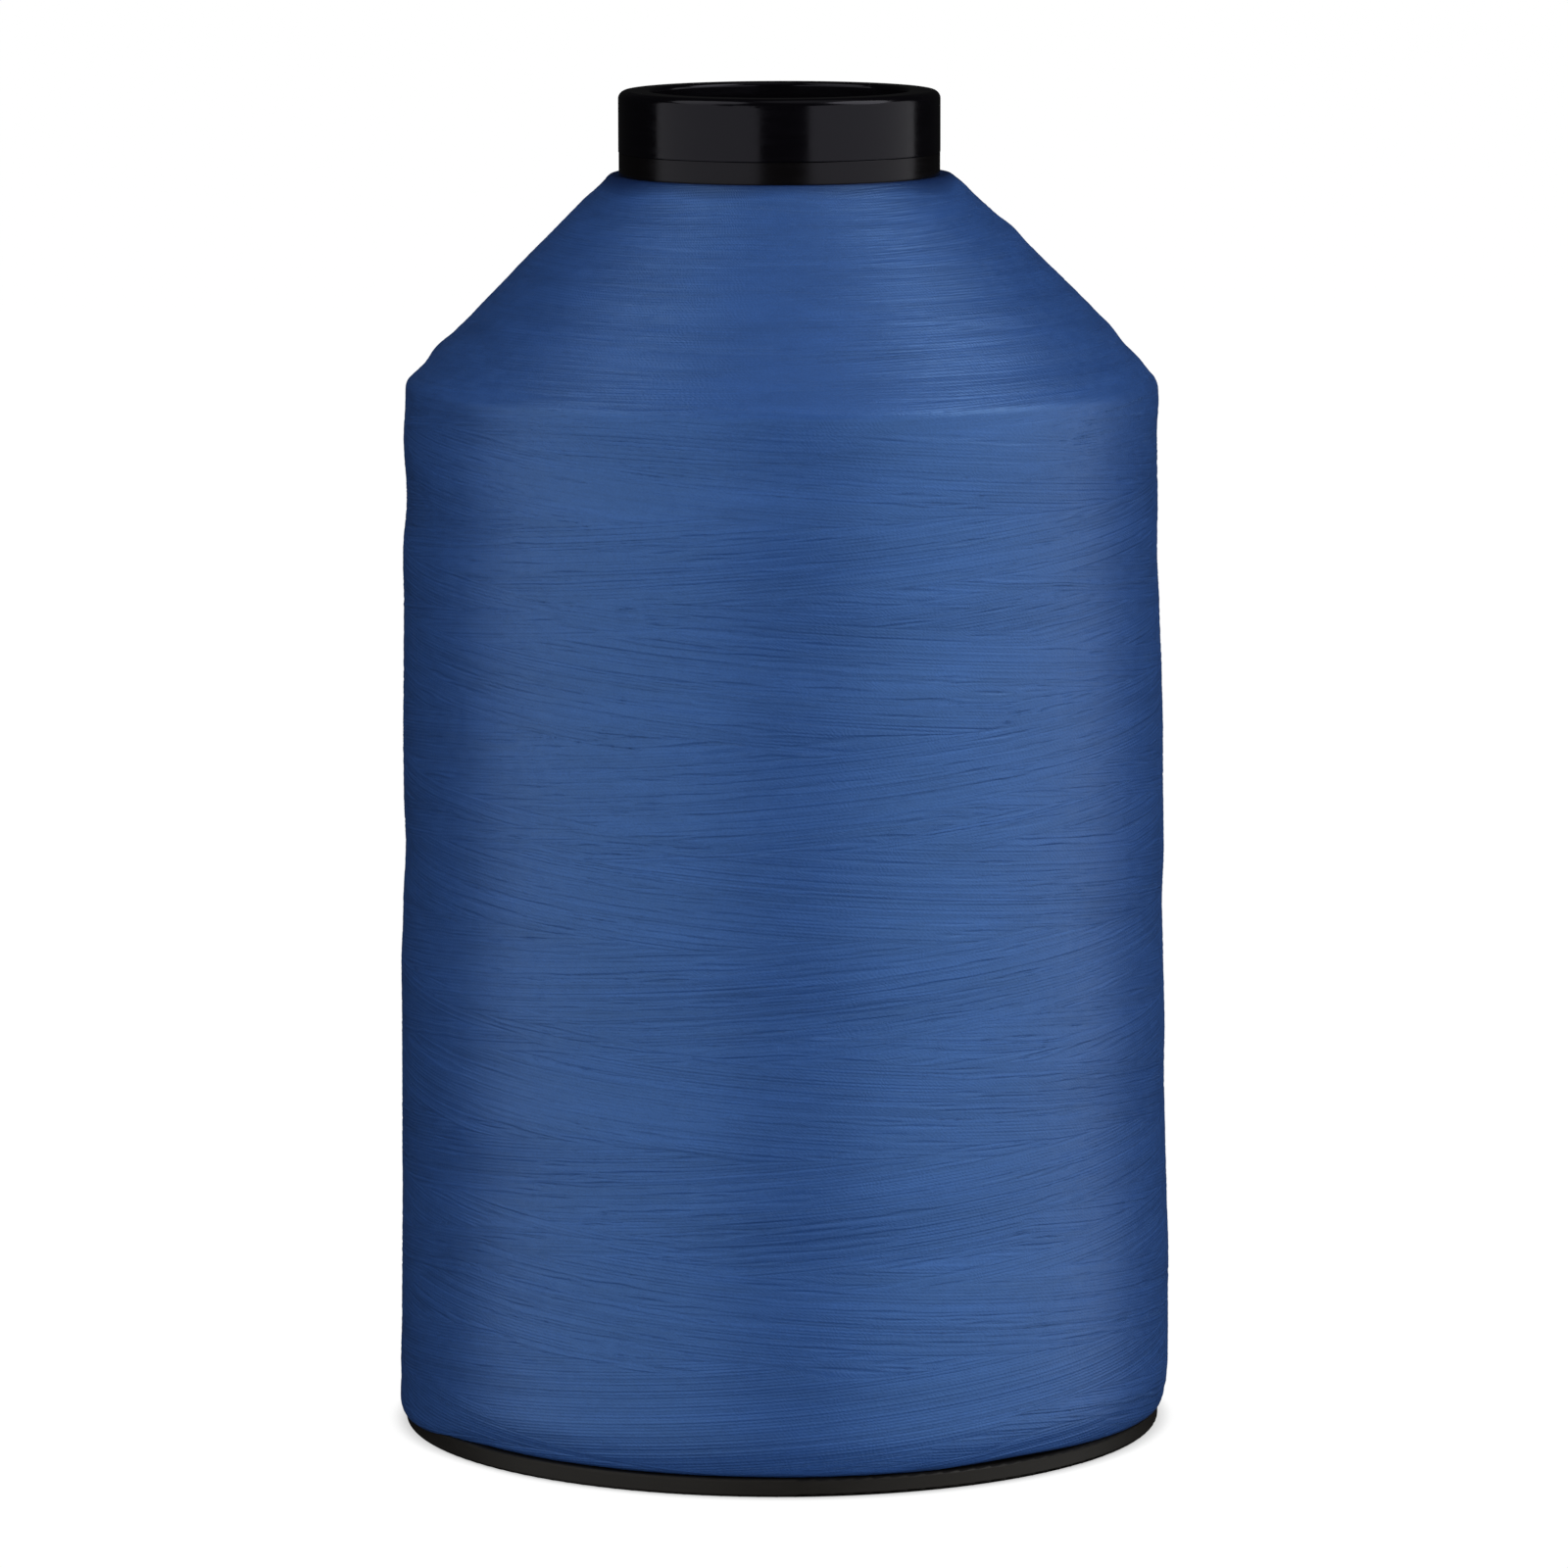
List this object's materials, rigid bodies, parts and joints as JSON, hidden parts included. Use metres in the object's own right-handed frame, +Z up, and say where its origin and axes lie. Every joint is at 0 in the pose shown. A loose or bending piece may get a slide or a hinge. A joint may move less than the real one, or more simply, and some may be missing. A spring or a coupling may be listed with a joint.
{
  "type": "spool of thread",
  "caption": "Large industrial spool of blue sewing thread, cross-wound with a sloping shoulder on a black moulded core with a collar, a base flange and a spindle bore.",
  "frame": {"origin": "centre of the base flange, in the plane that it stands on", "axes": "+Z up along the spool's axis, from the base flange to the collar; the spool is round, so X and Y are free"},
  "size_m": [0.1016, 0.1016, 0.175],
  "materials": {
    "core_plastic": "satin",
    "flange_plastic": "satin",
    "collar_plastic": "satin",
    "thread": "matte"
  },
  "bodies": {
    "root": {"core_barrel": "core_plastic", "top_collar": "collar_plastic", "base_flange": "flange_plastic", "starter_turns": "thread", "inner_winding": "thread", "middle_winding": "thread", "outer_winding": "thread"}
  },
  "joints": []
}
